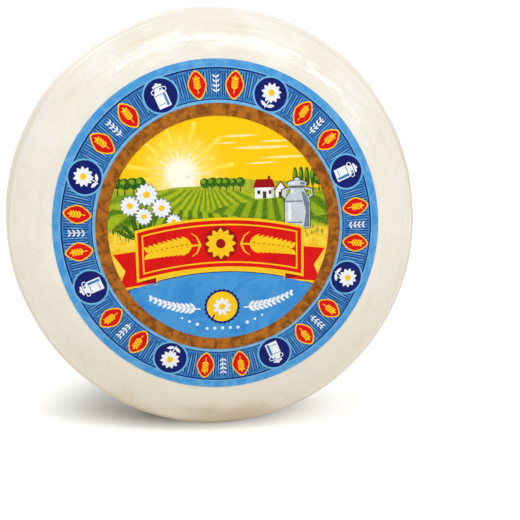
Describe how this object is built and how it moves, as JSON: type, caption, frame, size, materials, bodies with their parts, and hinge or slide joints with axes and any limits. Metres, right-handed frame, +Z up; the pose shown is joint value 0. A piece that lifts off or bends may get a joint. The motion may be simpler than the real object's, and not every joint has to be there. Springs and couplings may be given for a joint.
{
  "type": "wheel of goat cheese",
  "caption": "Round wheel of white goat cheese with crowned faces and rounded shoulders, standing on its edge, with a round printed paper label on its front face.",
  "frame": {"origin": "middle of the small flat spot at the wheel's foot, in the wheel's middle plane", "axes": "+Z up, +Y along the wheel's axis away from the labelled face, which looks towards -Y"},
  "size_m": [0.256, 0.0998, 0.254],
  "materials": {
    "cheese_coating": "thin glossy ivory-white cheese coating",
    "label_paper": "smooth coated paper printed in blue, yellow, green, red and brown"
  },
  "bodies": {
    "root": {"cheese": "cheese_coating", "label": "label_paper"}
  },
  "joints": []
}
